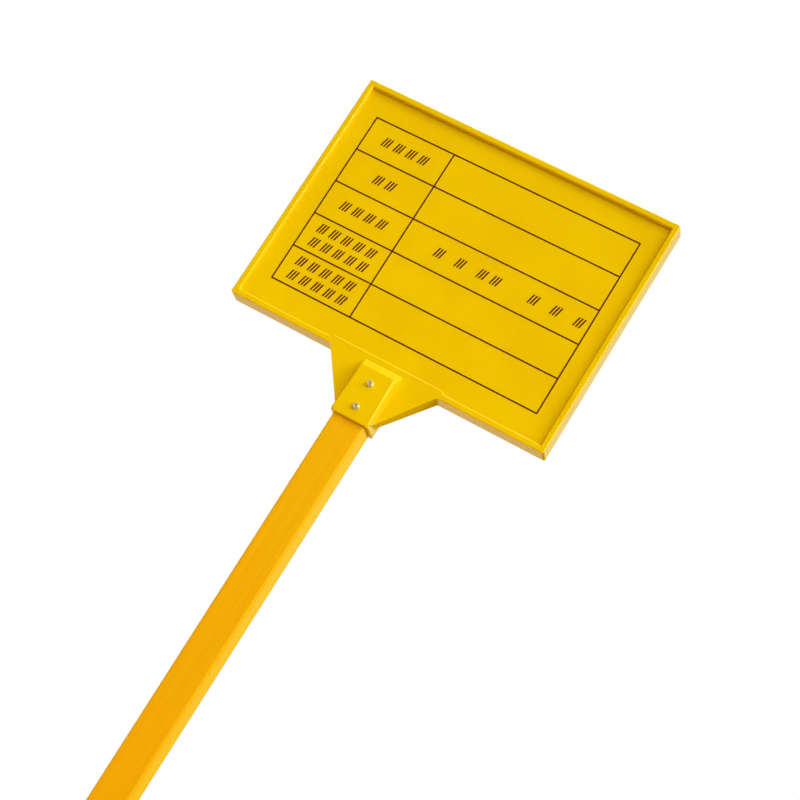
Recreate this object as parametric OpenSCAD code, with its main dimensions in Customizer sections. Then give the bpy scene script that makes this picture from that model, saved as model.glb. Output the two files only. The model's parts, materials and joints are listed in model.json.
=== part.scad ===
// Fibreglass warning sign on a tube post: a moulded tray with a hooded socket at its
// lower edge, pushed over the post's head and held by two screws.
// X runs across the sign, Z up the post and -Y out of the printed face.
// The origin is the middle of the post's foot.

/* [Sign board] */
// Width of the board
board_w = 400; // [300:5:600]
// Height of the board, without the neck below it
board_h = 300; // [240:5:450]
// Depth of the board's outer skirt
board_d = 23.5; // [20:0.5:36]
// Wall thickness of the moulding
wall = 3.5; // [2.5:0.5:5]
// Corner radius of the board, seen from the front
corner_r = 2.5; // [2:0.5:10]
// Radius along the front edge of the board
edge_r = 1.2; // [0.4:0.2:2]
// Width of the raised rim's front
rim_w = 7; // [5:0.5:16]
// Depth of the field below the rim
recess = 5; // [3:0.5:8]
// How far the rim's inner wall leans, from front to field
rim_draft = 0.8; // [0.2:0.2:2]

/* [Ribs on the back] */
// Depth of the stiffening ribs behind the plate
rib_d = 10; // [5:1:14]
// Thickness of a rib
rib_t = 3; // [2:0.5:5]
// Number of upright ribs on each side of the spine
side_ribs = 2; // [1:1:4]
// Number of ribs across the board
cross_ribs = 2; // [1:1:4]

/* [Neck] */
// Width of the neck where it leaves the board
neck_top_w = 136; // [100:2:200]
// Length of the neck below the board
neck_len = 60; // [40:1:64]
// Depth of the neck's skirt where it leaves the board
neck_top_d = 20; // [14:0.5:20]
// Depth of the neck's skirt at its lower end
neck_end_d = 11; // [6:0.5:14]
// Radius of the neck's inside corners
neck_fillet = 2; // [1:0.5:8]
// Width of the flush pad over the neck
pad_w = 143; // [110:1:220]
// Height of the flush pad's top above the board's lower edge
pad_h = 10.5; // [9:0.5:24]
// Radius of the pad's upper corners
pad_r = 4; // [1:0.5:6]

/* [Socket] */
// Gap between the socket and the post, on each side
socket_gap = 0.3; // [0.1:0.1:1]
// Height of the board's lower edge above the post's head
board_rise = 11; // [8:0.5:20]
// Length of post inside the socket
socket_len = 56.5; // [54:0.5:90]
// Radius of the socket's outer corners
socket_r = 4; // [2:0.5:6]
// Radius of the lip at the socket's mouth
lip_r = 1.5; // [0.5:0.5:2]
// Height of the hood's face above the post's head
hood_rise = 2.5; // [1:0.5:8]
// How much narrower the hood's face is at its top, on each side
hood_taper = 2; // [0:0.5:5]
// How far the hood's foot on the neck stands out beside the socket
hood_foot = 0.8; // [0.2:0.2:3]
// Radius along the hood's front edges
hood_edge_r = 2; // [1:0.5:3]

/* [Post] */
// Outside width of the tube
post_w = 40; // [30:1:60]
// Outside depth of the tube
post_d = 30; // [24:1:50]
// How far the tube's face stands in front of the rim
post_proud = 7.5; // [4:0.5:12]
// Wall thickness of the tube
post_wall = 3.5; // [2.5:0.5:5]
// Outside corner radius of the tube
post_r = 3; // [1:0.5:5]
// Length of the tube
post_len = 1200; // [600:50:2500]

/* [Screws] */
// Distance between the two screws, along the post
screw_pitch = 29; // [20:0.5:32]
// Height of the lower screw above the socket's mouth
screw_rise = 15; // [12:0.5:18]
// Diameter over the screw's thread
screw_d = 4.2; // [3.5:0.1:6.3]
// Length under the screw's head
screw_len = 19; // [13:1:32]
// Diameter of the flange under the head
flange_d = 8; // [7.6:0.2:14]
// Thickness of the flange
flange_t = 1; // [0.6:0.1:1.6]
// Width across the head's flats
hex_af = 6; // [5:0.5:6.5]
// Height of the head above its flange
hex_h = 2.6; // [2:0.2:5]
// Depth of the dish in the head's top
dish_h = 0.5; // [0.2:0.1:1]
// Gap round the screw in the socket's wall
screw_gap = 0.2; // [0.1:0.05:0.5]
// Gap round the screw in the tube's wall
thread_gap = 0.05; // [0.02:0.01:0.1]

/* [Printed form] */
// Width of the ruled form
form_w = 340; // [240:5:380]
// Distance between the form's ruled lines
row_h = 45; // [36:1:54]
// Width of the form's first column
label_w = 103; // [80:1:160]
// Width of a ruled line
line_w = 1.6; // [0.8:0.2:3]
// Thickness of the ink
ink_t = 0.2; // [0.1:0.05:0.3]
// Size of a label mark
mark_w = 12; // [9:0.5:14]
// Distance between the marks of a label
mark_pitch = 16; // [15:0.5:20]
// Distance between the two lines of a long label
mark_line = 18.5; // [16:0.5:24]
// Width of a mark's slanted bars
bar_w = 1.8; // [0.8:0.2:2.2]
// How far a bar leans over its height
bar_lean = 3; // [0:0.5:5]

/* [Hidden] */
curve = 48;
hull_curve = 32;
least_r = 1;
eps = 0.01;

front_y = -post_d / 2 + post_proud;
back_y = front_y + board_d;
field_y = front_y + recess;
plate_back_y = field_y + wall;

mouth_z = post_len - socket_len;
socket_w = post_w + 2 * socket_gap;
socket_d = post_d + 2 * socket_gap;
sleeve_w = socket_w + 2 * wall;
sleeve_d = socket_d + 2 * wall;
hood_y = -sleeve_d / 2;
cap_z = post_len + socket_gap;
cap_top_z = cap_z + wall;
face_top_z = post_len + hood_rise;
hood_top_z = face_top_z + front_y - hood_y;
board_z = post_len + board_rise;
neck_end_z = board_z - neck_len;
mid_z = board_z + board_h / 2;

lower_screw_z = mouth_z + screw_rise;
upper_screw_z = lower_screw_z + screw_pitch;

form_rows = 5;
form_h = form_rows * row_h;
// Marks in each label, row by row, with one number for each line of marks
label_marks = [[4], [2], [4], [5, 5], [5, 5]];
// Places of the marks in the middle row's entry, from the form's centre line
entry_marks = [-19, 8, 36, 53, 101, 129, 158];
entry_row = 2;
mark_bars = 3;

// Rectangle with its corners rounded to r
module rounded_square(w, h, r) {
  square([w - 2 * r, h], center = true);
  square([w, h - 2 * r], center = true);
  for (x = [-1, 1], y = [-1, 1])
    translate([x * (w / 2 - r), y * (h / 2 - r)])
      circle(r, $fn = curve);
}

// Lays an outline drawn in X and Z into the depth from y0 to y1
module slab(y0, y1) {
  translate([0, y1, 0])
    rotate([90, 0, 0])
      linear_extrude(y1 - y0)
        children();
}

// Extrudes an outline drawn in Y and Z over the width from x0 to x1
module side_slab(x0, x1) {
  translate([x0, 0, 0])
    rotate([90, 0, 90])
      linear_extrude(x1 - x0)
        children();
}

// Board's outline, inset by a distance
module board_outline(inset) {
  translate([0, mid_z])
    rounded_square(board_w - 2 * inset, board_h - 2 * inset, max(corner_r - inset, least_r));
}

// Upright round of radius r and height h, with its top edge eased
module eased_round(r, edge, h) {
  rotate_extrude($fn = hull_curve)
    intersection() {
      union() {
        square([r, h - edge]);
        square([r - edge, h]);
        translate([r - edge, h - edge])
          circle(edge, $fn = hull_curve);
      }
      square([r, h]);
    }
}

module board_block() {
  hull()
    for (x = [-1, 1], z = [-1, 1])
      translate([x * (board_w / 2 - corner_r), back_y, mid_z + z * (board_h / 2 - corner_r)])
        rotate([90, 0, 0])
          eased_round(corner_r, edge_r, board_d);
}

// Shallow space in front of the field, with leaning walls
module field_space() {
  hull() {
    slab(front_y - eps, front_y)
      board_outline(rim_w);
    slab(field_y - eps, field_y)
      board_outline(rim_w + rim_draft);
  }
}

// Pad that carries the rim's level up over the neck
module pad() {
  root_h = 2;
  slab(front_y, field_y + eps)
    translate([0, board_z])
      hull() {
        square([pad_w, root_h], center = true);
        for (x = [-1, 1])
          translate([x * (pad_w / 2 - pad_r), pad_h - pad_r])
            circle(pad_r, $fn = hull_curve);
      }
}

module tray() {
  difference() {
    board_block();
    difference() {
      field_space();
      pad();
    }
    slab(plate_back_y, back_y + eps)
      board_outline(wall);
  }
}

// Neck's outline, inset by a distance, with the inside corners rounded
module neck_outline(inset) {
  intersection() {
    offset(r = -neck_fillet)
      offset(delta = neck_fillet - inset) {
        polygon([
          [-neck_top_w / 2, board_z], [-sleeve_w / 2, neck_end_z],
          [sleeve_w / 2, neck_end_z], [neck_top_w / 2, board_z]
        ]);
        translate([-sleeve_w / 2, mouth_z + lip_r])
          square([sleeve_w, board_z - mouth_z - lip_r]);
        translate([-board_w / 2, board_z])
          square([board_w, rim_w]);
      }
    translate([-pad_w / 2, mouth_z])
      square([pad_w, board_z - mouth_z + rim_w - inset]);
  }
}

// Side view of the neck's skirt, which gets shallower towards the socket
module neck_side() {
  polygon([
    [front_y, mouth_z], [front_y, board_z + rim_w], [front_y + neck_top_d, board_z + rim_w],
    [front_y + neck_top_d, board_z], [front_y + neck_end_d, neck_end_z],
    [front_y + neck_end_d, mouth_z]
  ]);
}

module neck() {
  slab(front_y, front_y + wall)
    neck_outline(0);
  intersection() {
    slab(front_y, back_y)
      difference() {
        neck_outline(0);
        neck_outline(wall);
      }
    side_slab(-pad_w / 2, pad_w / 2)
      neck_side();
  }
}

// Ball with exact tips on every axis, so that hulls of it have true flats
module bead(r) {
  rotate_extrude($fn = hull_curve)
    intersection() {
      circle(r, $fn = hull_curve);
      translate([0, -r])
        square([r, 2 * r]);
    }
}

// Sleeve round the post's head, with a round lip at its mouth
module sleeve() {
  half_w = sleeve_w / 2 - socket_r;
  half_d = sleeve_d / 2 - socket_r;
  hull()
    for (x = [-1, 1], y = [-1, 1])
      translate([x * half_w, y * half_d, cap_top_z])
        rotate([180, 0, 0])
          eased_round(socket_r, lip_r, cap_top_z - mouth_z);
}

// Hood over the post's head: its face narrows upwards, its foot stands on the neck
module hood() {
  half_face = sleeve_w / 2 - hood_edge_r;
  half_foot = sleeve_w / 2 + hood_foot;
  foot_cut = 2;
  hull() {
    for (x = [-1, 1])
      translate([0, hood_y + hood_edge_r, 0]) {
        translate([x * half_face, 0, mouth_z + lip_r + hood_edge_r])
          bead(hood_edge_r);
        translate([x * (half_face - hood_taper), 0, face_top_z - hood_edge_r])
          bead(hood_edge_r);
      }
    slab(front_y, front_y + wall)
      polygon([
        [-half_foot, neck_end_z + foot_cut], [-sleeve_w / 2, neck_end_z - foot_cut],
        [sleeve_w / 2, neck_end_z - foot_cut], [half_foot, neck_end_z + foot_cut],
        [half_foot, hood_top_z - foot_cut], [half_foot - foot_cut, hood_top_z],
        [-half_foot + foot_cut, hood_top_z], [-half_foot, hood_top_z - foot_cut]
      ]);
  }
}

// Upright rib at x, from the board's lower skirt to its upper skirt
module upright_rib(x) {
  translate([x - rib_t / 2, plate_back_y - eps, board_z + wall - eps])
    cube([rib_t, rib_d + eps, board_h - 2 * wall + 2 * eps]);
}

// Web in line with the sleeve's side: runs from the sleeve's cap up the plate
module spine_rib(x) {
  side_slab(x - rib_t / 2, x + rib_t / 2)
    polygon([
      [front_y + wall - eps, cap_top_z - eps], [sleeve_d / 2 - socket_r, cap_top_z - eps],
      [back_y, board_z + wall], [plate_back_y + rib_d, board_z + wall + rib_d],
      [plate_back_y + rib_d, board_z + board_h - wall + eps],
      [plate_back_y - eps, board_z + board_h - wall + eps],
      [plate_back_y - eps, board_z + rim_w], [front_y + wall - eps, board_z + rim_w]
    ]);
}

module cross_rib(z) {
  translate([-board_w / 2 + wall - eps, plate_back_y - eps, z - rib_t / 2])
    cube([board_w - 2 * wall + 2 * eps, rib_d + eps, rib_t]);
}

module ribs() {
  spine_x = sleeve_w / 2 - rib_t;
  rib_pitch = (board_w / 2 - spine_x) / (side_ribs + 1);
  for (side = [-1, 1]) {
    spine_rib(side * spine_x);
    for (i = [1:side_ribs])
      upright_rib(side * (spine_x + i * rib_pitch));
  }
  for (i = [1:cross_ribs])
    cross_rib(board_z + i * board_h / (cross_ribs + 1));
}

// Hole for a screw along Y at height z, from depth y0 to y1
module screw_hole(z, y0, y1, d) {
  translate([0, y1, z])
    rotate([90, 0, 0])
      cylinder(d = d, h = y1 - y0, $fn = curve);
}

module sign_board() {
  color("gold")
    difference() {
      union() {
        tray();
        neck();
        sleeve();
        hood();
        ribs();
      }
      translate([0, 0, mouth_z - eps])
        linear_extrude(cap_z - mouth_z + eps)
          rounded_square(socket_w, socket_d, post_r + socket_gap);
      for (z = [lower_screw_z, upper_screw_z])
        screw_hole(z, hood_y - eps, hood_y + wall + socket_gap, screw_d + 2 * screw_gap);
    }
}

module post() {
  color("orange")
    difference() {
      linear_extrude(post_len)
        difference() {
          rounded_square(post_w, post_d, post_r);
          rounded_square(post_w - 2 * post_wall, post_d - 2 * post_wall, max(post_r - post_wall, least_r));
        }
      for (z = [lower_screw_z, upper_screw_z])
        screw_hole(z, -post_d / 2 - eps, -post_d / 2 + post_wall + eps, screw_d + 2 * thread_gap);
    }
}

// Self-tapping screw with a dished hexagon head on a flange, pointing along +Y
module screw(z) {
  point_h = screw_d;
  point_d = 0.6;
  dish_d = 0.8 * hex_af;
  dish_floor_d = 0.5 * hex_af;
  translate([0, hood_y, z])
    rotate([-90, 0, 0]) {
      difference() {
        translate([0, 0, -flange_t - hex_h])
          cylinder(d = hex_af / cos(30), h = hex_h, $fn = 6);
        translate([0, 0, -flange_t - hex_h - eps])
          cylinder(d1 = dish_d, d2 = dish_floor_d, h = dish_h, $fn = curve);
      }
      translate([0, 0, -flange_t])
        cylinder(d1 = hex_af, d2 = flange_d, h = flange_t, $fn = curve);
      cylinder(d = screw_d, h = screw_len - point_h, $fn = curve);
      translate([0, 0, screw_len - point_h])
        cylinder(d1 = screw_d, d2 = point_d, h = point_h, $fn = curve);
    }
}

module upper_screw() {
  color("silver")
    screw(upper_screw_z);
}

module lower_screw() {
  color("silver")
    screw(lower_screw_z);
}

// Ruled frame, its row lines and the line that ends the first column
module ruling() {
  for (i = [0:form_rows])
    translate([0, mid_z - form_h / 2 + i * row_h])
      square([form_w + line_w, line_w], center = true);
  for (x = [-form_w / 2, -form_w / 2 + label_w, form_w / 2])
    translate([x, mid_z])
      square([line_w, form_h + line_w], center = true);
}

// Generic mark: a square patch of slanted bars
module mark(x, z) {
  bar_step = (mark_w - bar_lean - bar_w) / (mark_bars - 1);
  for (i = [0:mark_bars - 1])
    translate([x - mark_w / 2 + i * bar_step, z - mark_w / 2])
      polygon([[0, 0], [bar_w, 0], [bar_w + bar_lean, mark_w], [bar_lean, mark_w]]);
}

function row_z(row) = mid_z + form_h / 2 - (row + 0.5) * row_h;

module label_line(count, z) {
  middle_x = -form_w / 2 + label_w / 2;
  for (i = [0:count - 1])
    mark(middle_x + (i - (count - 1) / 2) * mark_pitch, z);
}

module printed_form() {
  color("saddlebrown")
    slab(field_y - ink_t, field_y) {
      ruling();
      for (row = [0:form_rows - 1]) {
        lines = label_marks[row];
        for (k = [0:len(lines) - 1])
          label_line(lines[k], row_z(row) + ((len(lines) - 1) / 2 - k) * mark_line);
      }
      for (x = entry_marks)
        mark(x, row_z(entry_row));
    }
}

sign_board();
post();
upper_screw();
lower_screw();
printed_form();
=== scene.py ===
"""Looks, studio and camera for a fibreglass warning sign on a tube post.

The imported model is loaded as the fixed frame: metres, Z up the post, -Y out of the
printed face. Each sub-assembly is a class that builds its meshes in that frame and
dresses them with the finish that the real piece has.
"""

import json
import logging
import math
from collections.abc import Callable
from dataclasses import dataclass, field
from enum import Enum
from functools import partial
from typing import Any

import bmesh
import bpy
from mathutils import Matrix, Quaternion, Vector

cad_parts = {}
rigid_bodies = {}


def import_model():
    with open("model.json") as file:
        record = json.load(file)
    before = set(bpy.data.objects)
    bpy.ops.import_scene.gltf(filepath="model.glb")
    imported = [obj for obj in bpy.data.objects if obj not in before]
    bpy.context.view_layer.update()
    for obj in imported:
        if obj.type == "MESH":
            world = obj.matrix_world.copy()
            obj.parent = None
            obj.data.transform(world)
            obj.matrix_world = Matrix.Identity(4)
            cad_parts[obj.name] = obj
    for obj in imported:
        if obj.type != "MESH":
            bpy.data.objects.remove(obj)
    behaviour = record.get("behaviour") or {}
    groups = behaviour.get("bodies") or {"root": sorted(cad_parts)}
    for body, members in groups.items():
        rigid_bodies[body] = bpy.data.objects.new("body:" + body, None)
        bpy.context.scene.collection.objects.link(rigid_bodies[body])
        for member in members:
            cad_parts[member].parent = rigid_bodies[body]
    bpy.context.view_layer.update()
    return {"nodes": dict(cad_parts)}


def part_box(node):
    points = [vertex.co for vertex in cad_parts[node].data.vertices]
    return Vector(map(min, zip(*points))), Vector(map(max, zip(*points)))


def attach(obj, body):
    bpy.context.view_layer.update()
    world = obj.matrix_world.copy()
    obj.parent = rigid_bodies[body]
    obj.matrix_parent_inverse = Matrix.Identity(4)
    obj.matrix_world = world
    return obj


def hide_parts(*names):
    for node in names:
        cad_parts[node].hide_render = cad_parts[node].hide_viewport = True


for leftover in list(bpy.data.objects):
    bpy.data.objects.remove(leftover)
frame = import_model()

LOG = logging.getLogger("warning_sign")
BODY = "root"
MM = 0.001
TOLERANCE = 0.01 * MM
CREASE = math.radians(30)
WHITE = (1.0, 1.0, 1.0, 1.0)
# Sockets of the Mix node, whose names repeat.
FLOAT_A, FLOAT_B, FLOAT_OUT = 2, 3, 0
RGBA_A, RGBA_B, RGBA_OUT = 6, 7, 2
# The part of a noise pattern's range that holds nearly all of its values.
CLOUDS = {"From Min": 0.35, "From Max": 0.65}

Adder = Callable[..., bpy.types.Node]
Ring = Callable[[float], tuple[float, float]]


class Slot(Enum):
    """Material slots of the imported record."""

    MOULDING = "moulding"
    TUBE = "tube"
    SCREW_STEEL = "screw_steel"
    INK = "ink"


# ---- helpers ----


def linear(hex_colour: str) -> tuple[float, float, float, float]:
    """Turns an sRGB hex colour into linear RGBA.

    Args:
        hex_colour: six hex digits, such as "EBC100".

    Returns:
        Red, green and blue in linear light, and an alpha of 1.
    """
    channels = []
    for start in (0, 2, 4):
        value = int(hex_colour[start : start + 2], 16) / 255
        low = value <= 0.04045
        channels.append(value / 12.92 if low else ((value + 0.055) / 1.055) ** 2.4)
    return (*channels, 1.0)


def per_metre(width_mm: float) -> float:
    """Texture scale that gives features of about width_mm on metre coordinates."""
    return 1.0 / (width_mm * MM)


def add_node(
    tree: bpy.types.NodeTree,
    kind: str,
    inputs: dict[str | int, Any] | None = None,
    **settings: Any,
) -> bpy.types.Node:
    """Adds a node with its settings, values and links.

    Args:
        tree: shader or geometry tree that gets the node.
        kind: the node's type name.
        inputs: value or output socket for each input, by name or number.
        **settings: the node's own properties.

    Returns:
        The new node.
    """
    node = tree.nodes.new(kind)
    for name, value in settings.items():
        setattr(node, name, value)
    for key, value in (inputs or {}).items():
        if isinstance(value, bpy.types.NodeSocket):
            tree.links.new(value, node.inputs[key])
        else:
            node.inputs[key].default_value = value
    return node


def new_material(
    name: str,
) -> tuple[bpy.types.Material, Adder, bpy.types.NodeSocket]:
    """Makes an empty node material.

    Args:
        name: the real material's name.

    Returns:
        The material, add_node for its tree, and the place on the object in metres.
    """
    material = bpy.data.materials.new(name)
    material.use_nodes = True
    material.node_tree.nodes.clear()
    add = partial(add_node, material.node_tree)
    return material, add, add("ShaderNodeTexCoord").outputs["Object"]


def about(middle: float, spread: float) -> dict[str, float]:
    """Map Range values that turn a noise pattern into a value about a middle."""
    low, high = middle - spread / 2, middle + spread / 2
    return {"From Min": 0.3, "From Max": 0.7, "To Min": low, "To Max": high}


def new_geometry_tree(
    name: str, given: dict[str, str]
) -> tuple[bpy.types.NodeTree, Adder]:
    """Makes a geometry tree that has its inputs and one geometry output.

    Args:
        name: the tree's name.
        given: each input's name, with its kind of socket.

    Returns:
        The tree, and add_node for it.
    """
    tree = bpy.data.node_groups.new(name, "GeometryNodeTree")
    sockets = tree.interface
    for label, kind in given.items():
        sockets.new_socket(label, in_out="INPUT", socket_type=f"NodeSocket{kind}")
    sockets.new_socket("Made", in_out="OUTPUT", socket_type="NodeSocketGeometry")
    return tree, partial(add_node, tree)


def link_object(name: str, mesh: bpy.types.Mesh) -> bpy.types.Object:
    """Puts a mesh into the scene as an object at the origin.

    Args:
        name: the object's name.
        mesh: the mesh, in the frame's own coordinates.

    Returns:
        The new object.
    """
    piece = bpy.data.objects.new(name, mesh)
    bpy.context.scene.collection.objects.link(piece)
    return piece


def apply_modifiers(piece: bpy.types.Object) -> None:
    """Makes the evaluated shape the piece's plain mesh and drops its modifiers.

    Args:
        piece: the object with live modifiers.
    """
    depsgraph = bpy.context.evaluated_depsgraph_get()
    mesh = bpy.data.meshes.new_from_object(piece.evaluated_get(depsgraph))
    piece.modifiers.clear()
    piece.data = mesh


def set_tree(
    piece: bpy.types.Object, tree: bpy.types.NodeTree, values: dict[str, Any]
) -> None:
    """Puts a geometry tree on a piece and sets its named inputs.

    Args:
        piece: the object that gets the tree.
        tree: the geometry tree.
        values: a value for each input, by the input's name.
    """
    modifier = piece.modifiers.new(tree.name, "NODES")
    modifier.node_group = tree
    for item in tree.interface.items_tree:
        if item.in_out == "INPUT" and item.name in values:
            modifier[item.identifier] = values[item.name]


def set_even_normals(mesh: bpy.types.Mesh, smooth_angle: float) -> None:
    """Shades flats flat and rounds round, whatever small faces lie between them.

    Each corner takes the area-weighted normal of those faces at its vertex that turn
    from its own face by less than the angle.

    Args:
        mesh: the mesh to shade.
        smooth_angle: the largest turn that still looks round, in radians.
    """
    least_match = math.cos(smooth_angle)
    around: dict[int, list[bpy.types.MeshPolygon]] = {}
    for face in mesh.polygons:
        for corner in face.vertices:
            around.setdefault(corner, []).append(face)
    normals = []
    for face in mesh.polygons:
        for corner in face.vertices:
            total = Vector()
            for other in around[corner]:
                if other.normal.dot(face.normal) > least_match:
                    total += other.normal * other.area
            normals.append(total.normalized())
    mesh.shade_smooth()
    mesh.normals_split_custom_set(normals)


def welded_copy(
    node: str, name: str, shape: Callable[[bmesh.types.BMesh], None] | None = None
) -> bpy.types.Object:
    """Copies a CAD node as one welded shell with even normals on its flats and rounds.

    Args:
        node: the CAD node.
        name: the new piece's name.
        shape: changes the welded shell before its normals are set.

    Returns:
        The new object.
    """
    weld_distance = 0.002 * MM
    flat_angle = math.radians(0.6)
    smooth_angle = math.radians(35)
    shell = bmesh.new()
    shell.from_mesh(frame["nodes"][node].data)
    bmesh.ops.remove_doubles(shell, verts=shell.verts, dist=weld_distance)
    bmesh.ops.dissolve_limit(
        shell, angle_limit=flat_angle, verts=shell.verts, edges=shell.edges
    )
    if shape:
        shape(shell)
    mesh = bpy.data.meshes.new(name)
    shell.to_mesh(mesh)
    shell.free()
    set_even_normals(mesh, smooth_angle)
    return link_object(name, mesh)


def hand_over(piece: bpy.types.Object, slot: Slot, *nodes: str) -> None:
    """Makes a finished piece ride on the body and stand for its CAD nodes.

    Args:
        piece: the finished piece.
        slot: its material slot; not used.
        *nodes: the CAD nodes that it replaces.
    """
    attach(piece, BODY)
    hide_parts(*nodes)
    LOG.info("%s: %d faces, for %s", piece.name, len(piece.data.polygons), nodes)


# ---- finishes ----


@dataclass(frozen=True)
class GelCoat:
    """Moulded glass-fibre plastic with a glossy pigmented gel coat."""

    colour: str = "ECC200"
    deep_colour: str = "E7BB00"
    roughness: float = 0.2
    roughness_spread: float = 0.06
    ior: float = 1.5
    sheen_colour: str = "FFF0A0"
    blotch_mm: float = 70.0
    smear_mm: float = 22.0
    peel_mm: float = 3.0
    peel_depth_mm: float = 0.012

    def material(self) -> bpy.types.Material:
        """Builds the finish.

        Returns:
            The material.
        """
        # The gel coat is sprayed into the mould: deep even yellow with faint clouds,
        # wet gloss that smears and cleaning have dulled unevenly, and a faint orange
        # peel. The resin is yellow through and through, so its sheen is warm too.
        material, add, place = new_material("gel_coated_fibreglass")
        blotch = add(
            "ShaderNodeTexNoise",
            {"Vector": place, "Scale": per_metre(self.blotch_mm), "Detail": 3.0},
        )
        spread = add(
            "ShaderNodeMapRange",
            {"Value": blotch.outputs["Fac"], **CLOUDS},
        )
        colour = add(
            "ShaderNodeMix",
            {
                "Factor": spread.outputs["Result"],
                RGBA_A: linear(self.colour),
                RGBA_B: linear(self.deep_colour),
            },
            data_type="RGBA",
        )
        smear = add(
            "ShaderNodeTexNoise",
            {
                "Vector": place,
                "Scale": per_metre(self.smear_mm),
                "Detail": 5.0,
                "Roughness": 0.6,
            },
        )
        gloss = add(
            "ShaderNodeMapRange",
            {
                "Value": smear.outputs["Fac"],
                **about(self.roughness, self.roughness_spread),
            },
        )
        peel = add(
            "ShaderNodeTexNoise",
            {"Vector": place, "Scale": per_metre(self.peel_mm), "Detail": 2.0},
        )
        bump = add(
            "ShaderNodeBump",
            {"Height": peel.outputs["Fac"], "Distance": self.peel_depth_mm * MM},
        )
        shader = add(
            "ShaderNodeBsdfPrincipled",
            {
                "Base Color": colour.outputs[RGBA_OUT],
                "Roughness": gloss.outputs["Result"],
                "IOR": self.ior,
                "Specular Tint": linear(self.sheen_colour),
                "Normal": bump.outputs["Normal"],
            },
        )
        add("ShaderNodeOutputMaterial", {"Surface": shader.outputs["BSDF"]})
        return material


@dataclass(frozen=True)
class PultrudedTube:
    """Pultruded glass-fibre plastic, pulled through a die along its length."""

    colour: str = "E09A00"
    # Painted light: the tube's colour grows to this paler yellow towards its head,
    # below the board.
    head_colour: str = "ECAC00"
    paling_from: float = 0.65
    paling_to: float = 1.15
    streak_colour: str = "C87800"
    streak_shade: float = 0.16
    roughness: float = 0.42
    roughness_spread: float = 0.1
    ior: float = 1.5
    specular_level: float = 0.3
    sheen_colour: str = "FFE98A"
    veil_weight: float = 1.0
    veil_roughness: float = 0.5
    veil_colour: str = "FFE830"
    streak_mm: float = 3.2
    streak_stretch: float = 45.0
    veil_mm: float = 5.0
    groove_depth_mm: float = 0.02

    def material(self) -> bpy.types.Material:
        """Builds the finish.

        Returns:
            The material.
        """
        # The die leaves straight streaks along the tube, over a surface veil that
        # breaks the gloss a little and glows yellow where the surface turns away.
        # Towards its head the tube is painted paler and yellower: painted light from
        # the yellow board above it.
        material, add, place = new_material("pultruded_fibreglass")
        along = add(
            "ShaderNodeMapping",
            {"Vector": place, "Scale": (1.0, 1.0, 1.0 / self.streak_stretch)},
        )
        streak = add(
            "ShaderNodeTexNoise",
            {
                "Vector": along.outputs["Vector"],
                "Scale": per_metre(self.streak_mm),
                "Detail": 4.0,
                "Roughness": 0.65,
            },
        )
        veil = add(
            "ShaderNodeTexNoise",
            {
                "Vector": place,
                "Scale": per_metre(self.veil_mm),
                "Detail": 6.0,
                "Roughness": 0.7,
            },
        )
        axes = add("ShaderNodeSeparateXYZ", {"Vector": place})
        # Painted light: the colour turns paler between these two heights, towards the
        # head.
        height = add(
            "ShaderNodeMapRange",
            {
                "Value": axes.outputs["Z"],
                "From Min": self.paling_from,
                "From Max": self.paling_to,
            },
        )
        paled = add(
            "ShaderNodeMix",
            {
                "Factor": height.outputs["Result"],
                RGBA_A: linear(self.colour),
                RGBA_B: linear(self.head_colour),
            },
            data_type="RGBA",
        )
        spread = add(
            "ShaderNodeMapRange",
            {
                "Value": streak.outputs["Fac"],
                **CLOUDS,
                "To Max": self.streak_shade,
            },
        )
        colour = add(
            "ShaderNodeMix",
            {
                "Factor": spread.outputs["Result"],
                RGBA_A: paled.outputs[RGBA_OUT],
                RGBA_B: linear(self.streak_colour),
            },
            data_type="RGBA",
        )
        gloss = add(
            "ShaderNodeMapRange",
            {
                "Value": veil.outputs["Fac"],
                **about(self.roughness, self.roughness_spread),
            },
        )
        bump = add(
            "ShaderNodeBump",
            {"Height": streak.outputs["Fac"], "Distance": self.groove_depth_mm * MM},
        )
        shader = add(
            "ShaderNodeBsdfPrincipled",
            {
                "Base Color": colour.outputs[RGBA_OUT],
                "Roughness": gloss.outputs["Result"],
                "IOR": self.ior,
                "Specular IOR Level": self.specular_level,
                "Specular Tint": linear(self.sheen_colour),
                "Sheen Weight": self.veil_weight,
                "Sheen Roughness": self.veil_roughness,
                "Sheen Tint": linear(self.veil_colour),
                "Normal": bump.outputs["Normal"],
            },
        )
        add("ShaderNodeOutputMaterial", {"Surface": shader.outputs["BSDF"]})
        return material


@dataclass(frozen=True)
class SawnFibreEnd:
    """Sawn end of a pultruded tube, where the glass fibres stand bare."""

    resin_colour: str = "D9A43A"
    fibre_colour: str = "F0E2B4"
    roughness: float = 0.75
    fibre_mm: float = 0.9
    fibre_depth_mm: float = 0.08

    def material(self) -> bpy.types.Material:
        """Builds the finish.

        Returns:
            The material.
        """
        # Fibre ends are far finer than this; the speckle is drawn as coarse as a
        # close view needs.
        material, add, place = new_material("sawn_fibreglass_end")
        fibres = add(
            "ShaderNodeTexVoronoi", {"Vector": place, "Scale": per_metre(self.fibre_mm)}
        )
        colour = add(
            "ShaderNodeMix",
            {
                "Factor": fibres.outputs["Distance"],
                RGBA_A: linear(self.fibre_colour),
                RGBA_B: linear(self.resin_colour),
            },
            data_type="RGBA",
        )
        bump = add(
            "ShaderNodeBump",
            {
                "Height": fibres.outputs["Distance"],
                "Distance": self.fibre_depth_mm * MM,
            },
        )
        shader = add(
            "ShaderNodeBsdfPrincipled",
            {
                "Base Color": colour.outputs[RGBA_OUT],
                "Roughness": self.roughness,
                "Normal": bump.outputs["Normal"],
            },
        )
        add("ShaderNodeOutputMaterial", {"Surface": shader.outputs["BSDF"]})
        return material


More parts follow.
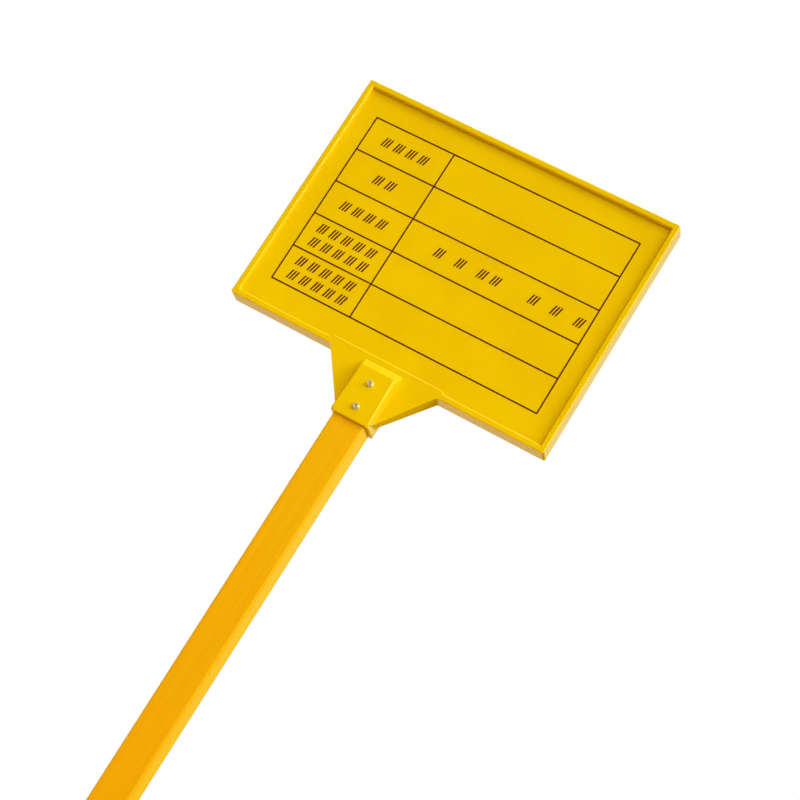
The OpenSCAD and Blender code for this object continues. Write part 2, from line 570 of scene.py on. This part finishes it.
@dataclass(frozen=True)
class ZincPlate:
    """Passivated zinc plating on cold-headed steel screws."""

    colour: str = "EBDFB2"
    passivated_colour: str = "CDB980"
    roughness: float = 0.5
    roughness_spread: float = 0.14
    spangle_mm: float = 1.6
    spangle_depth_mm: float = 0.02

    def material(self) -> bpy.types.Material:
        """Builds the finish.

        Returns:
            The material.
        """
        # Plating in a barrel gives a satin metal with small warm patches.
        material, add, place = new_material("zinc_plated_steel")
        spangle = add(
            "ShaderNodeTexNoise",
            {"Vector": place, "Scale": per_metre(self.spangle_mm), "Detail": 4.0},
        )
        colour = add(
            "ShaderNodeMix",
            {
                "Factor": spangle.outputs["Fac"],
                RGBA_A: linear(self.colour),
                RGBA_B: linear(self.passivated_colour),
            },
            data_type="RGBA",
        )
        gloss = add(
            "ShaderNodeMapRange",
            {
                "Value": spangle.outputs["Fac"],
                **about(self.roughness, self.roughness_spread),
            },
        )
        bump = add(
            "ShaderNodeBump",
            {"Height": spangle.outputs["Fac"], "Distance": self.spangle_depth_mm * MM},
        )
        shader = add(
            "ShaderNodeBsdfPrincipled",
            {
                "Base Color": colour.outputs[RGBA_OUT],
                "Metallic": 1.0,
                "Roughness": gloss.outputs["Result"],
                "Normal": bump.outputs["Normal"],
            },
        )
        add("ShaderNodeOutputMaterial", {"Surface": shader.outputs["BSDF"]})
        return material


@dataclass(frozen=True)
class ScreenInk:
    """Screen-printed ink, laid thin over the gel coat."""

    colour: str = "4A0400"
    thin_colour: str = "561200"
    roughness: float = 0.5
    ior: float = 1.48
    specular_level: float = 0.3
    sheen_colour: str = "FF9A50"
    mesh_mm: float = 1.4
    thin_from: float = 0.5
    thin_to: float = 0.8

    def material(self) -> bpy.types.Material:
        """Builds the finish.

        Returns:
            The material.
        """
        # The screen's mesh leaves the ink a little thinner in spots, where the
        # yellow warms it.
        material, add, place = new_material("screen_printed_ink")
        cover = add(
            "ShaderNodeTexNoise",
            {"Vector": place, "Scale": per_metre(self.mesh_mm), "Detail": 2.0},
        )
        thin = add(
            "ShaderNodeMapRange",
            {
                "Value": cover.outputs["Fac"],
                "From Min": self.thin_from,
                "From Max": self.thin_to,
            },
        )
        colour = add(
            "ShaderNodeMix",
            {
                "Factor": thin.outputs["Result"],
                RGBA_A: linear(self.colour),
                RGBA_B: linear(self.thin_colour),
            },
            data_type="RGBA",
        )
        shader = add(
            "ShaderNodeBsdfPrincipled",
            {
                "Base Color": colour.outputs[RGBA_OUT],
                "Roughness": self.roughness,
                "IOR": self.ior,
                "Specular IOR Level": self.specular_level,
                "Specular Tint": linear(self.sheen_colour),
            },
        )
        add("ShaderNodeOutputMaterial", {"Surface": shader.outputs["BSDF"]})
        return material


@dataclass(frozen=True)
class StudioPaper:
    """Matt cream paper of the studio floor."""

    colour: str = "DAC4A0"
    roughness: float = 0.9
    grain_mm: float = 6.0
    grain_depth_mm: float = 0.02
    near_lift: float = 0.5
    fade_from: float = 0.5
    fade_to: float = 1.9

    def material(self) -> bpy.types.Material:
        """Builds the finish.

        Returns:
            The material.
        """
        # Uncoated paper is matt, so the floor shows no mirror image of the post.
        material, add, place = new_material("studio_paper")
        grain = add(
            "ShaderNodeTexNoise", {"Vector": place, "Scale": per_metre(self.grain_mm)}
        )
        bump = add(
            "ShaderNodeBump",
            {"Height": grain.outputs["Fac"], "Distance": self.grain_depth_mm * MM},
        )
        shader = add(
            "ShaderNodeBsdfPrincipled",
            {
                "Base Color": linear(self.colour),
                "Roughness": self.roughness,
                "Normal": bump.outputs["Normal"],
            },
        )
        # For the camera alone the paper grows to plain white towards its rim, so it
        # has no horizon, and its light on the object stays as it is.
        reach = add("ShaderNodeVectorMath", {0: place}, operation="LENGTH")
        fade = add(
            "ShaderNodeMapRange",
            {
                "Value": reach.outputs["Value"],
                "From Min": self.fade_from,
                "From Max": self.fade_to,
                "To Min": self.near_lift,
            },
            interpolation_type="SMOOTHSTEP",
        )
        seen = add("ShaderNodeLightPath").outputs["Is Camera Ray"]
        share = add(
            "ShaderNodeMath", {0: seen, 1: fade.outputs["Result"]}, operation="MULTIPLY"
        )
        white = add("ShaderNodeEmission", {"Color": WHITE})
        lifted = add(
            "ShaderNodeMixShader",
            {
                "Fac": share.outputs["Value"],
                1: shader.outputs["BSDF"],
                2: white.outputs["Emission"],
            },
        )
        add("ShaderNodeOutputMaterial", {"Surface": lifted.outputs["Shader"]})
        return material


# ---- sub-assemblies ----


@dataclass
class BoardMoulding:
    """The tray with its rim, neck, hood and socket, in one moulding."""

    node: str = "sign_board"
    front_y: float = -7.5 * MM
    rib_y: float = 11.0 * MM
    rim_round: float = 1.2 * MM
    rib_round: float = 0.5 * MM
    neck_z: float = 1213.0 * MM
    finish: GelCoat = field(default_factory=GelCoat)

    def round_edges(self, shell: bmesh.types.BMesh) -> None:
        """Rounds the rim's edges and the free edges of skirt and ribs.

        Args:
            shell: the welded moulding.
        """

        def on_rim(spot: Vector) -> bool:
            return abs(spot.y - self.front_y) < TOLERANCE

        def at_back(spot: Vector) -> bool:
            return spot.y > self.rib_y - TOLERANCE

        for rule, offset, segments in (
            (on_rim, self.rim_round, 3),
            (at_back, self.rib_round, 2),
        ):
            edges = [
                edge
                for edge in shell.edges
                if edge.is_convex
                and edge.calc_face_angle(0.0) > CREASE
                and all(
                    rule(corner.co) and corner.co.z > self.neck_z
                    for corner in edge.verts
                )
            ]
            bmesh.ops.bevel(
                shell,
                geom=edges,
                offset=offset,
                segments=segments,
                profile=0.5,
                affect="EDGES",
            )

    def build(self) -> bpy.types.Object:
        """Welds the moulding into one shell and rounds its edges.

        Returns:
            The piece.
        """
        return welded_copy(self.node, "board_moulding", self.round_edges)

    def dress(self, piece: bpy.types.Object) -> None:
        """Gives the moulding its gel coat.

        Args:
            piece: the welded moulding.
        """
        piece.data.materials.clear()
        piece.data.materials.append(self.finish.material())
        hand_over(piece, Slot.MOULDING, self.node)


@dataclass
class PostTube:
    """The rectangular tube post with its sawn ends."""

    node: str = "post"
    end_break: float = 0.4 * MM
    finish: PultrudedTube = field(default_factory=PultrudedTube)
    end_finish: SawnFibreEnd = field(default_factory=SawnFibreEnd)

    def ends(self) -> tuple[float, float]:
        """Heights of the tube's foot and head."""
        low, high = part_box(self.node)
        return low.z, high.z

    def break_ends(self, shell: bmesh.types.BMesh) -> None:
        """Takes the sharpness off the edges of both sawn ends.

        Args:
            shell: the welded tube.
        """
        rims = [
            edge
            for edge in shell.edges
            for end in self.ends()
            if all(abs(corner.co.z - end) < TOLERANCE for corner in edge.verts)
            and edge.calc_face_angle(0.0) > CREASE
        ]
        bmesh.ops.bevel(
            shell, geom=rims, offset=self.end_break, segments=2, affect="EDGES"
        )

    def build(self) -> bpy.types.Object:
        """Welds the tube and breaks the edges of its ends.

        Returns:
            The piece.
        """
        return welded_copy(self.node, "post_tube", self.break_ends)

    def dress(self, piece: bpy.types.Object) -> None:
        """Gives the tube its pultruded skin and its two ends the sawn finish.

        Args:
            piece: the welded tube.
        """
        upright = 0.9
        piece.data.materials.clear()
        piece.data.materials.append(self.finish.material())
        piece.data.materials.append(self.end_finish.material())
        for face in piece.data.polygons:
            face.material_index = int(abs(face.normal.z) > upright)
        hand_over(piece, Slot.TUBE, self.node)


@dataclass
class HoodScrews:
    """The two flanged hexagon screws through the hood into the tube."""

    lower_node: str = "lower_screw"
    upper_node: str = "upper_screw"
    columns: int = 36
    across_flats: float = 6.0 * MM
    head_height: float = 2.6 * MM
    flange_radius: float = 4.0 * MM
    flange_height: float = 1.0 * MM
    dish_radius: float = 2.3 * MM
    dish_depth: float = 0.22 * MM
    dish_floor_share: float = 0.6
    edge_break: float = 0.15 * MM
    edge_round: float = 0.1 * MM
    thread_start: float = 0.6 * MM
    shank_length: float = 19.0 * MM
    crest_radius: float = 2.1 * MM
    root_radius: float = 1.65 * MM
    thread_pitch: float = 1.4 * MM
    rows_per_turn: int = 6
    point_length: float = 4.2 * MM
    turn_between: float = math.radians(23)
    finish: ZincPlate = field(default_factory=ZincPlate)

    def rings(self) -> list[Ring]:
        """Lists the screw's rings from the middle of its head to its point.

        Returns:
            For each ring, a rule from the angle to the radius and the depth, where
            depth grows from the flange's underside into the wall.
        """
        half = self.across_flats / 2
        top = -(self.flange_height + self.head_height)
        chamfer_slope = math.tan(math.radians(30))

        def plain(radius: float, depth: float) -> Ring:
            return lambda angle: (radius, depth)

        def hexagon(angle: float) -> float:
            sixth = math.pi / 3
            return half / math.cos((angle % sixth) - sixth / 2)

        def chamfer(angle: float) -> tuple[float, float]:
            radius = hexagon(angle)
            return radius, top + (radius - half) * chamfer_slope + self.edge_break

        wide, tall = self.flange_radius, self.flange_height
        rules = [
            plain(self.dish_radius * self.dish_floor_share, top + self.dish_depth),
            plain(self.dish_radius, top + self.edge_round),
            plain(self.dish_radius + self.edge_round, top),
            plain(half - self.edge_break, top),
            chamfer,
            lambda angle: (hexagon(angle), -tall - 2 * self.edge_round),
            lambda angle: (hexagon(angle) + self.edge_break, -tall),
            plain(wide - self.edge_break, -0.5 * tall),
            plain(wide, -0.3 * tall),
            plain(wide, -0.1 * tall),
            plain(wide - self.edge_round, 0.0),
            plain(self.root_radius, 0.0),
        ]
        row_step = self.thread_pitch / self.rows_per_turn
        rows = int((self.shank_length - self.thread_start) / row_step)

        def thread(depth: float) -> Ring:
            taper = min(1.0, (self.shank_length - depth) / self.point_length)

            def ring(angle: float) -> tuple[float, float]:
                # The ridge takes up the middle half of each turn.
                phase = (depth / self.thread_pitch - angle / math.tau) % 1.0
                crest = max(0.0, 1.0 - abs(phase - 0.5) * 4)
                radius = self.root_radius
                radius += crest * (self.crest_radius - self.root_radius)
                return radius * taper, depth

            return ring

        rules += [thread(self.thread_start + row_step * row) for row in range(rows)]
        return rules

    def screw_mesh(self) -> bpy.types.Mesh:
        """Builds one screw about the origin, with its head towards -Y.

        Returns:
            The mesh.
        """
        smooth_angle = math.radians(32)
        shell = bmesh.new()
        rings = []
        for rule in self.rings():
            ring = []
            for column in range(self.columns):
                angle = math.tau * column / self.columns
                radius, depth = rule(angle)
                spot = (radius * math.cos(angle), depth, radius * math.sin(angle))
                ring.append(shell.verts.new(spot))
            rings.append(ring)
        for ring, deeper in zip(rings, rings[1:]):
            for column in range(self.columns):
                beside = (column + 1) % self.columns
                shell.faces.new(
                    (ring[column], ring[beside], deeper[beside], deeper[column])
                )
        middle = shell.verts.new((0.0, rings[0][0].co.y, 0.0))
        tip = shell.verts.new((0.0, self.shank_length, 0.0))
        for column in range(self.columns):
            beside = (column + 1) % self.columns
            shell.faces.new((rings[0][beside], rings[0][column], middle))
            shell.faces.new((rings[-1][column], rings[-1][beside], tip))
        bmesh.ops.recalc_face_normals(shell, faces=shell.faces)
        mesh = bpy.data.meshes.new("flanged_screws")
        shell.to_mesh(mesh)
        shell.free()
        mesh.shade_smooth()
        mesh.set_sharp_from_angle(angle=smooth_angle)
        return mesh

    def placing_tree(self) -> bpy.types.NodeTree:
        """Builds the tree that sets copies of a screw in a row.

        Returns:
            The geometry tree.
        """
        tree, add = new_geometry_tree(
            "screws_in_a_row",
            {
                "Screw": "Geometry",
                "Count": "Int",
                "First Place": "Vector",
                "Step": "Vector",
                "Turn": "Float",
                "Finish": "Material",
            },
        )
        given = add("NodeGroupInput").outputs
        places = add(
            "GeometryNodeMeshLine",
            {
                "Count": given["Count"],
                "Start Location": given["First Place"],
                "Offset": given["Step"],
            },
            mode="OFFSET",
        )
        number = add("GeometryNodeInputIndex")
        turned = add(
            "ShaderNodeMath",
            {0: number.outputs["Index"], 1: given["Turn"]},
            operation="MULTIPLY",
        )
        rotation = add("ShaderNodeCombineXYZ", {"Y": turned.outputs["Value"]})
        copies = add(
            "GeometryNodeInstanceOnPoints",
            {
                "Points": places.outputs["Mesh"],
                "Instance": given["Screw"],
                "Rotation": rotation.outputs["Vector"],
            },
        )
        solid = add(
            "GeometryNodeRealizeInstances", {"Geometry": copies.outputs["Instances"]}
        )
        dressed = add(
            "GeometryNodeSetMaterial",
            {"Geometry": solid.outputs["Geometry"], "Material": given["Finish"]},
        )
        add("NodeGroupOutput", {"Made": dressed.outputs["Geometry"]})
        return tree

    def places(self) -> tuple[Vector, Vector]:
        """Finds the screws' places on the hood's face.

        Returns:
            The middles of the lower and the upper flange's underside.
        """
        spots = []
        for node in (self.lower_node, self.upper_node):
            low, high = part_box(node)
            face = low.y + self.flange_height + self.head_height
            spots.append(Vector(((low.x + high.x) / 2, face, (low.z + high.z) / 2)))
        return spots[0], spots[1]

    def build(self) -> bpy.types.Object:
        """Makes both screws as one plain mesh.

        Returns:
            The piece.
        """
        lower, upper = self.places()
        piece = link_object("flanged_screws", self.screw_mesh())
        set_tree(
            piece,
            self.placing_tree(),
            {
                "Count": 2,
                "First Place": lower,
                "Step": upper - lower,
                "Turn": self.turn_between,
                "Finish": self.finish.material(),
            },
        )
        apply_modifiers(piece)
        return piece

    def dress(self, piece: bpy.types.Object) -> None:
        """Hands the screws over; their tree has set the plating."""
        hand_over(piece, Slot.SCREW_STEEL, self.lower_node, self.upper_node)


@dataclass
class PrintedForm:
    """The printed ruling and its generic marks, as a thin layer of ink."""

    node: str = "printed_form"
    rows: int = 5
    width: float = 340.0 * MM
    row_height: float = 45.0 * MM
    first_column: float = 103.0 * MM
    line_width: float = 1.65 * MM
    mark_width: float = 12.0 * MM
    mark_pitch: float = 16.0 * MM
    line_pitch: float = 18.5 * MM
    bar_width: float = 1.8 * MM
    bar_lean: float = 3.0 * MM
    bars: int = 3
    label_marks: tuple[tuple[int, ...], ...] = ((4,), (2,), (4,), (5, 5), (5, 5))
    entry_row: int = 2
    entry_marks: tuple[float, ...] = (-19, 8, 36, 53, 101, 129, 158)
    finish: ScreenInk = field(default_factory=ScreenInk)

    def middle(self) -> Vector:
        """Middle of the ink layer."""
        low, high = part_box(self.node)
        return (low + high) / 2

    def thickness(self) -> float:
        """Thickness of the ink layer."""
        low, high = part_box(self.node)
        return high.y - low.y

    def row_z(self, row: int) -> float:
        """Height of a row's middle above the form's middle."""
        return (self.rows / 2 - row - 0.5) * self.row_height

    def mark_spots(self) -> list[Vector]:
        """Places of all marks, from the form's middle.

        Returns:
            One vector for each mark.
        """
        column_x = (self.first_column - self.width) / 2
        spots = []
        for row, lines in enumerate(self.label_marks):
            for place, count in enumerate(lines):
                z = self.row_z(row)
                z += ((len(lines) - 1) / 2 - place) * self.line_pitch
                for number in range(count):
                    x = column_x + (number - (count - 1) / 2) * self.mark_pitch
                    spots.append(Vector((x, 0.0, z)))
        entry_z = self.row_z(self.entry_row)
        spots += [Vector((x * MM, 0.0, entry_z)) for x in self.entry_marks]
        return spots

    def ruled_lines(self) -> list[tuple[Vector, Vector]]:
        """Ends of all ruled lines, from the form's middle.

        Returns:
            Two ends for each line. Rows stop short of the upright lines.
        """
        half_w = self.width / 2
        half_h = self.rows * self.row_height / 2
        half_line = self.line_width / 2
        column = -half_w + self.first_column
        uprights = (-half_w, column, half_w)
        lines = [
            (Vector((x, 0, -half_h - half_line)), Vector((x, 0, half_h + half_line)))
            for x in uprights
        ]
        for row in range(self.rows + 1):
            z = -half_h + row * self.row_height
            for left, right in zip(uprights, uprights[1:]):
                start = Vector((left + half_line, 0, z))
                lines.append((start, Vector((right - half_line, 0, z))))
        return lines

    def ink_tree(self) -> bpy.types.NodeTree:
        """Builds the tree that prints bars along edges and marks on loose points.

        Returns:
            The geometry tree.
        """
        tree, add = new_geometry_tree(
            "printed_ink",
            {
                "Layout": "Geometry",
                "Ink Thickness": "Float",
                "Line Width": "Float",
                "Mark Width": "Float",
                "Bar Width": "Float",
                "Bar Lean": "Float",
                "Bar Step": "Float",
                "Bars": "Int",
                "Finish": "Material",
            },
        )
        given = add("NodeGroupInput").outputs

        bar_size = add(
            "ShaderNodeCombineXYZ",
            {
                "X": given["Bar Width"],
                "Y": given["Ink Thickness"],
                "Z": given["Mark Width"],
            },
        )
        bar = add("GeometryNodeMeshCube", {"Size": bar_size.outputs["Vector"]})
        step = add("ShaderNodeCombineXYZ", {"X": given["Bar Step"]})
        back = add(
            "ShaderNodeVectorMath",
            {0: step.outputs["Vector"], "Scale": -(self.bars - 1) / 2},
            operation="SCALE",
        )
        bar_row = add(
            "GeometryNodeMeshLine",
            {
                "Count": given["Bars"],
                "Start Location": back.outputs["Vector"],
                "Offset": step.outputs["Vector"],
            },
            mode="OFFSET",
        )
        bars = add(
            "GeometryNodeInstanceOnPoints",
            {"Points": bar_row.outputs["Mesh"], "Instance": bar.outputs["Mesh"]},
        )
        upright = add(
            "GeometryNodeRealizeInstances", {"Geometry": bars.outputs["Instances"]}
        )
        spot = add("GeometryNodeInputPosition")
        axes = add("ShaderNodeSeparateXYZ", {"Vector": spot.outputs["Position"]})
        slope = add(
            "ShaderNodeMath",
            {0: given["Bar Lean"], 1: given["Mark Width"]},
            operation="DIVIDE",
        )
        shift = add(
            "ShaderNodeMath",
            {0: axes.outputs["Z"], 1: slope.outputs["Value"]},
            operation="MULTIPLY",
        )
        lean = add("ShaderNodeCombineXYZ", {"X": shift.outputs["Value"]})
        mark = add(
            "GeometryNodeSetPosition",
            {"Geometry": upright.outputs["Geometry"], "Offset": lean.outputs["Vector"]},
        )
        neighbours = add("GeometryNodeInputMeshVertexNeighbors")
        loose = add(
            "FunctionNodeCompare",
            {2: neighbours.outputs["Vertex Count"], 3: 0},
            data_type="INT",
            operation="EQUAL",
        )
        spots = add(
            "GeometryNodeMeshToPoints",
            {"Mesh": given["Layout"], "Selection": loose.outputs["Result"]},
            mode="VERTICES",
        )
        marks = add(
            "GeometryNodeInstanceOnPoints",
            {"Points": spots.outputs["Points"], "Instance": mark.outputs["Geometry"]},
        )

        paths = add("GeometryNodeMeshToCurve", {"Mesh": given["Layout"]})
        section = add(
            "GeometryNodeCurvePrimitiveQuadrilateral",
            {"Width": given["Ink Thickness"], "Height": given["Line Width"]},
            mode="RECTANGLE",
        )
        upright_paths = add(
            "GeometryNodeSetCurveNormal",
            {"Curve": paths.outputs["Curve"], "Normal": (0.0, 1.0, 0.0)},
            mode="FREE",
        )
        ruling = add(
            "GeometryNodeCurveToMesh",
            {
                "Curve": upright_paths.outputs["Curve"],
                "Profile Curve": section.outputs["Curve"],
                "Fill Caps": True,
            },
        )
        joined = add("GeometryNodeJoinGeometry")
        tree.links.new(marks.outputs["Instances"], joined.inputs["Geometry"])
        tree.links.new(ruling.outputs["Mesh"], joined.inputs["Geometry"])
        solid = add(
            "GeometryNodeRealizeInstances", {"Geometry": joined.outputs["Geometry"]}
        )
        flat = add(
            "GeometryNodeSetShadeSmooth",
            {"Geometry": solid.outputs["Geometry"], "Shade Smooth": False},
        )
        dressed = add(
            "GeometryNodeSetMaterial",
            {"Geometry": flat.outputs["Geometry"], "Material": given["Finish"]},
        )
        add("NodeGroupOutput", {"Made": dressed.outputs["Geometry"]})
        return tree

    def build(self) -> bpy.types.Object:
        """Prints the form on the field.

        Returns:
            The piece.
        """
        middle = self.middle()
        layout = bmesh.new()
        for spot in self.mark_spots():
            layout.verts.new(middle + spot)
        for start, end in self.ruled_lines():
            layout.edges.new(
                (layout.verts.new(middle + start), layout.verts.new(middle + end))
            )
        mesh = bpy.data.meshes.new("printed_ruling")
        layout.to_mesh(mesh)
        layout.free()
        piece = link_object("printed_ruling", mesh)
        free_width = self.mark_width - self.bar_lean - self.bar_width
        set_tree(
            piece,
            self.ink_tree(),
            {
                "Ink Thickness": self.thickness(),
                "Line Width": self.line_width,
                "Mark Width": self.mark_width,
                "Bar Width": self.bar_width,
                "Bar Lean": self.bar_lean,
                "Bar Step": free_width / (self.bars - 1),
                "Bars": self.bars,
                "Finish": self.finish.material(),
            },
        )
        apply_modifiers(piece)
        return piece

    def dress(self, piece: bpy.types.Object) -> None:
        """Hands the print over; its tree has set the ink."""
        hand_over(piece, Slot.INK, self.node)


# ---- studio and camera ----


@dataclass(frozen=True)
class SoftLamp:
    """A large soft lamp so far off that it lights the whole sign evenly.

    The level is how bright it makes a white surface that faces it, and the angle is
    how wide the lamp looks from the sign.
    """

    name: str
    towards: tuple[float, float, float]
    level: float
    angle: float
    colour: str = "FFFFFF"
    distance: float = 4.0

    def hang(self) -> None:
        """Hangs the lamp."""
        lamp = bpy.data.lights.new(self.name, "SUN")
        lamp.energy = math.pi * self.level
        lamp.color = linear(self.colour)[:3]
        lamp.angle = math.radians(self.angle)
        holder = bpy.data.objects.new(self.name, lamp)
        bpy.context.scene.collection.objects.link(holder)
        direction = Vector(self.towards).normalized()
        holder.location = direction * self.distance
        holder.rotation_mode = "QUATERNION"
        holder.rotation_quaternion = (-direction).to_track_quat("-Z", "Y")


@dataclass
class Studio:
    """Pale floor, a white backdrop behind the sign, a dim room and soft lamps."""

    floor_radius: float = 2.0
    floor_sides: int = 96
    floor_drop: float = 1.0 * MM
    backdrop_white: float = 0.76
    backdrop_light: float = 0.7
    room_shade: float = 0.14
    room_colour: str = "FFC080"
    room_to: float = -0.35
    backdrop_from: float = 0.25
    low_shade: float = 0.6
    low_from: float = -0.5
    low_to: float = 0.1
    lamps: tuple[SoftLamp, ...] = (
        SoftLamp("key_softbox", (0.35, -0.88, 0.35), 0.47, 18.0, "FFF2E0"),
        SoftLamp("side_softbox", (0.84, -0.42, 0.58), 0.86, 36.0, "EAFFF0"),
        SoftLamp("top_softbox", (-0.20, -0.45, 0.85), 0.38, 24.0, "F0FFF4"),
        SoftLamp("back_softbox", (-0.30, 0.75, 0.60), 0.5, 30.0),
    )
    card_towards: tuple[float, float, float] = (0.42, 0.80, -0.46)
    card_shade: float = 0.12
    card_colour: str = "FFA030"
    card_fade_from: float = 0.77
    card_fade_to: float = 0.88
    paper: StudioPaper = field(default_factory=StudioPaper)

    def lay_floor(self) -> None:
        """Lays the round paper floor under the post's foot."""
        sheet = bmesh.new()
        rim = []
        for number in range(self.floor_sides):
            angle = math.tau * number / self.floor_sides
            x, y = math.cos(angle), math.sin(angle)
            spot = (x * self.floor_radius, y * self.floor_radius, -self.floor_drop)
            rim.append(spot)
        sheet.faces.new([sheet.verts.new(spot) for spot in rim])
        mesh = bpy.data.meshes.new("studio_floor")
        sheet.to_mesh(mesh)
        sheet.free()
        floor = link_object("studio_floor", mesh)
        mesh.materials.append(self.paper.material())

    def fill_world(self) -> None:
        """Makes the surroundings: a white backdrop behind, a dim room in front."""
        world = bpy.data.worlds.new("studio")
        world.use_nodes = True
        bpy.context.scene.world = world
        world.node_tree.nodes.clear()
        add = partial(add_node, world.node_tree)
        rays = add("ShaderNodeLightPath").outputs
        direction = add("ShaderNodeTexCoord").outputs["Generated"]
        axes = add("ShaderNodeSeparateXYZ", {"Vector": direction}).outputs
        depth = add(
            "ShaderNodeMapRange",
            {
                "Value": axes["Y"],
                "From Min": self.room_to,
                "From Max": self.backdrop_from,
            },
            interpolation_type="SMOOTHSTEP",
        )
        level = add(
            "ShaderNodeMapRange",
            {
                "Value": depth.outputs["Result"],
                "To Min": self.room_shade,
                "To Max": self.backdrop_white,
            },
        )
        lower = add(
            "ShaderNodeMapRange",
            {
                "Value": axes["Z"],
                "From Min": self.low_from,
                "From Max": self.low_to,
                "To Min": self.low_shade,
            },
        )
        # A brown card low behind the neck keeps the backdrop's white off its side wall.
        facing = add(
            "ShaderNodeVectorMath",
            {0: direction, 1: Vector(self.card_towards).normalized()},
            operation="DOT_PRODUCT",
        )
        card = add(
            "ShaderNodeMapRange",
            {
                "Value": facing.outputs["Value"],
                "From Min": self.card_fade_from,
                "From Max": self.card_fade_to,
            },
            interpolation_type="SMOOTHSTEP",
        )
        carded = add(
            "ShaderNodeMix",
            {
                "Factor": card.outputs["Result"],
                FLOAT_A: level.outputs["Result"],
                FLOAT_B: self.card_shade,
            },
            data_type="FLOAT",
        )
        shaded = add(
            "ShaderNodeMath",
            {0: carded.outputs[FLOAT_OUT], 1: lower.outputs["Result"]},
            operation="MULTIPLY",
        )
        softened = add(
            "ShaderNodeMapRange",
            {
                "Value": rays["Is Diffuse Ray"],
                "To Min": 1.0,
                "To Max": self.backdrop_light,
            },
        )
        strength = add(
            "ShaderNodeMath",
            {0: shaded.outputs["Value"], 1: softened.outputs["Result"]},
            operation="MULTIPLY",
        )
        room = add(
            "ShaderNodeMix",
            {
                "Factor": depth.outputs["Result"],
                RGBA_A: linear(self.room_colour),
                RGBA_B: WHITE,
            },
            data_type="RGBA",
        )
        colour = add(
            "ShaderNodeMix",
            {
                "Factor": card.outputs["Result"],
                RGBA_A: room.outputs[RGBA_OUT],
                RGBA_B: linear(self.card_colour),
            },
            data_type="RGBA",
        )
        around = add(
            "ShaderNodeBackground",
            {"Color": colour.outputs[RGBA_OUT], "Strength": strength.outputs["Value"]},
        )
        white = add("ShaderNodeBackground", {"Color": WHITE})
        seen = add(
            "ShaderNodeMath",
            {0: rays["Is Camera Ray"], 1: rays["Is Transmission Ray"]},
            operation="MAXIMUM",
        )
        background = add(
            "ShaderNodeMixShader",
            {
                "Fac": seen.outputs["Value"],
                1: around.outputs["Background"],
                2: white.outputs["Background"],
            },
        )
        add("ShaderNodeOutputWorld", {"Surface": background.outputs["Shader"]})

    def build(self) -> None:
        """Sets the whole studio up."""
        self.lay_floor()
        self.fill_world()
        for lamp in self.lamps:
            lamp.hang()


@dataclass(frozen=True)
class PhotoCamera:
    """The photograph's view, fitted to the sign's straight edges."""

    place_mm: tuple[float, float, float] = (713.7, -2113.9, 626.7)
    azimuth: float = 17.872
    elevation: float = 14.291
    roll: float = 32.231
    lens_mm: float = 95.82
    sensor_mm: float = 36.0

    def build(self) -> None:
        """Makes the scene's camera."""
        azimuth, elevation = math.radians(self.azimuth), math.radians(self.elevation)
        ahead = Vector(
            (
                -math.sin(azimuth) * math.cos(elevation),
                math.cos(azimuth) * math.cos(elevation),
                math.sin(elevation),
            )
        )
        data = bpy.data.cameras.new("photo_camera")
        data.lens = self.lens_mm
        data.sensor_width = self.sensor_mm
        camera = bpy.data.objects.new("photo_camera", data)
        bpy.context.scene.collection.objects.link(camera)
        camera.location = Vector(self.place_mm) * MM
        camera.rotation_mode = "QUATERNION"
        turn = Quaternion((0.0, 0.0, 1.0), math.radians(self.roll))
        camera.rotation_quaternion = ahead.to_track_quat("-Z", "Y") @ turn
        bpy.context.scene.camera = camera


def main() -> None:
    """Builds the pieces in order, then the studio and the camera."""
    logging.basicConfig(level=logging.INFO, format="%(name)s: %(message)s")
    for assembly in (BoardMoulding(), PostTube(), HoodScrews(), PrintedForm()):
        assembly.dress(assembly.build())
    Studio().build()
    PhotoCamera().build()
    bpy.context.scene.view_settings.view_transform = "Standard"


if __name__ == "__main__":
    main()
